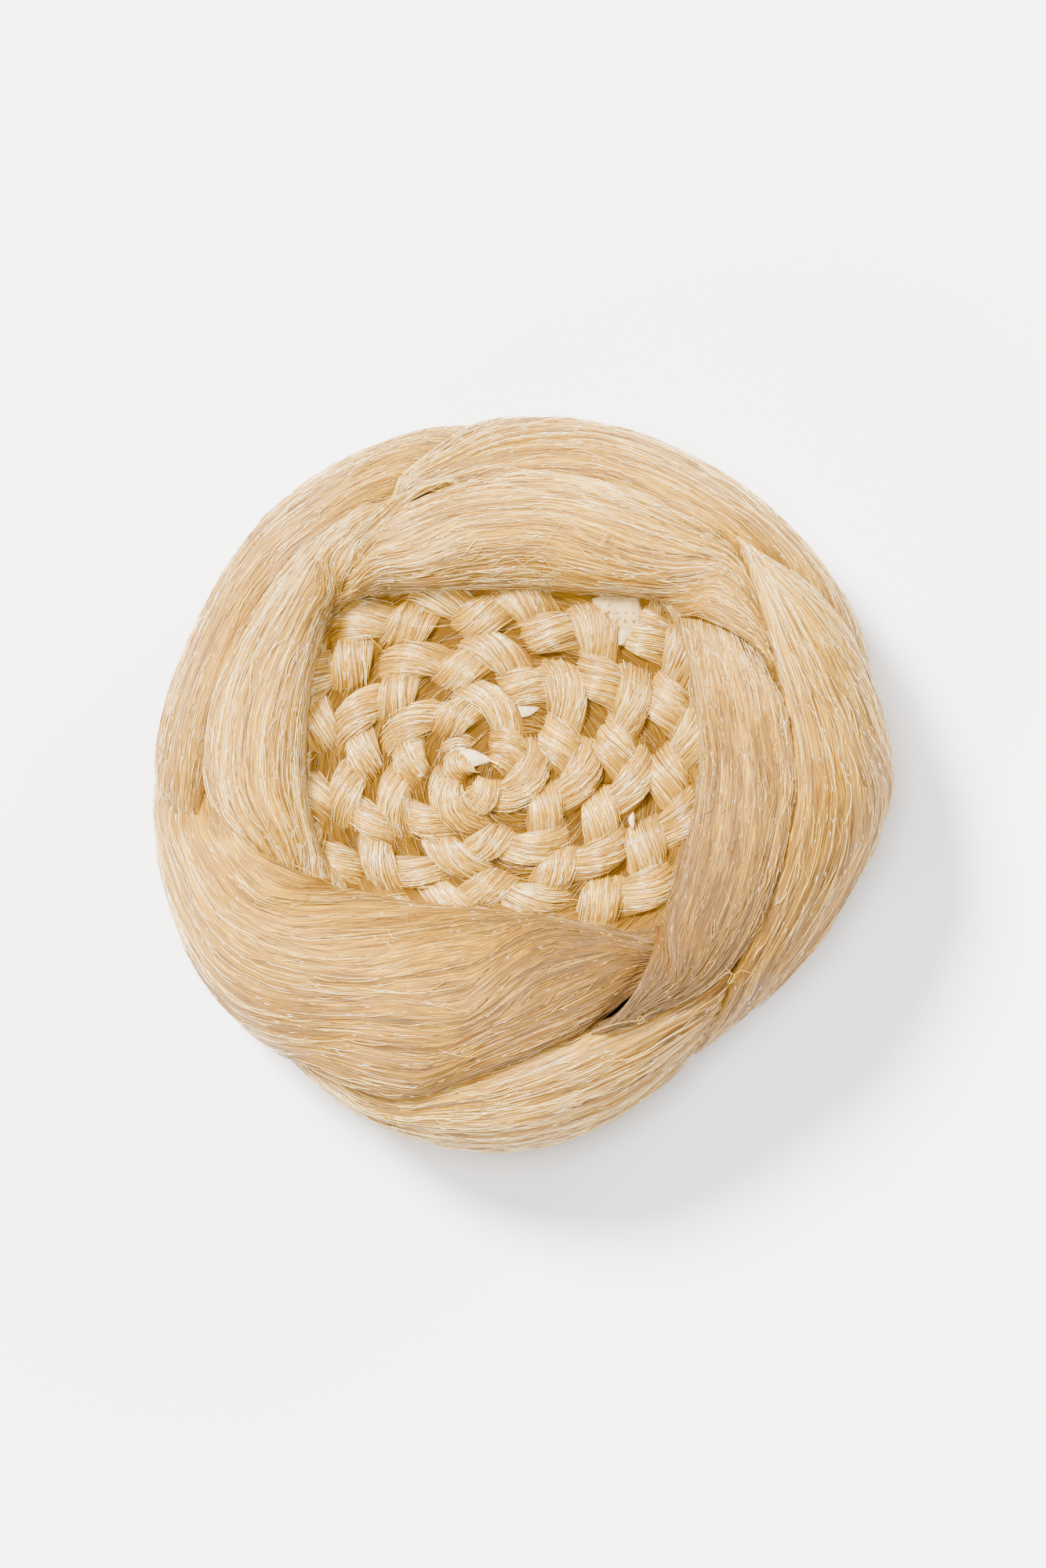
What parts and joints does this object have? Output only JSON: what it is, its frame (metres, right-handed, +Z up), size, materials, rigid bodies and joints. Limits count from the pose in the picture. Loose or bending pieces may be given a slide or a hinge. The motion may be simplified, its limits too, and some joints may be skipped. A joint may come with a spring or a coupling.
{
  "type": "bun hairpiece",
  "caption": "Domed hair bun of overlapping locks swirled round a coiled plait, open underneath to sit over gathered hair and held by a hidden comb.",
  "frame": {"origin": "on the surface that the rim rests on, under the middle of the outline", "axes": "+Z up out of the bun, away from the head; +Y towards the comb's side of the rim; +X to the right seen from above"},
  "size_m": [0.1199, 0.1189, 0.0467],
  "materials": {
    "hair": "glossy combed blond fibre",
    "plait": "glossy plaited blond fibre",
    "backing": "beige moulded non-woven cloth",
    "comb": "plain honey-coloured plastic"
  },
  "bodies": {
    "root": {"lock_top_inner": "hair", "lock_right_inner": "hair", "lock_bottom_inner": "hair", "lock_left_inner": "hair", "lock_top_outer": "hair", "lock_right_outer": "hair", "lock_bottom_outer": "hair", "lock_left_outer": "hair", "plait_strand_1": "plait", "plait_strand_2": "plait", "plait_strand_3": "plait", "backing": "backing", "comb": "comb"}
  },
  "joints": []
}
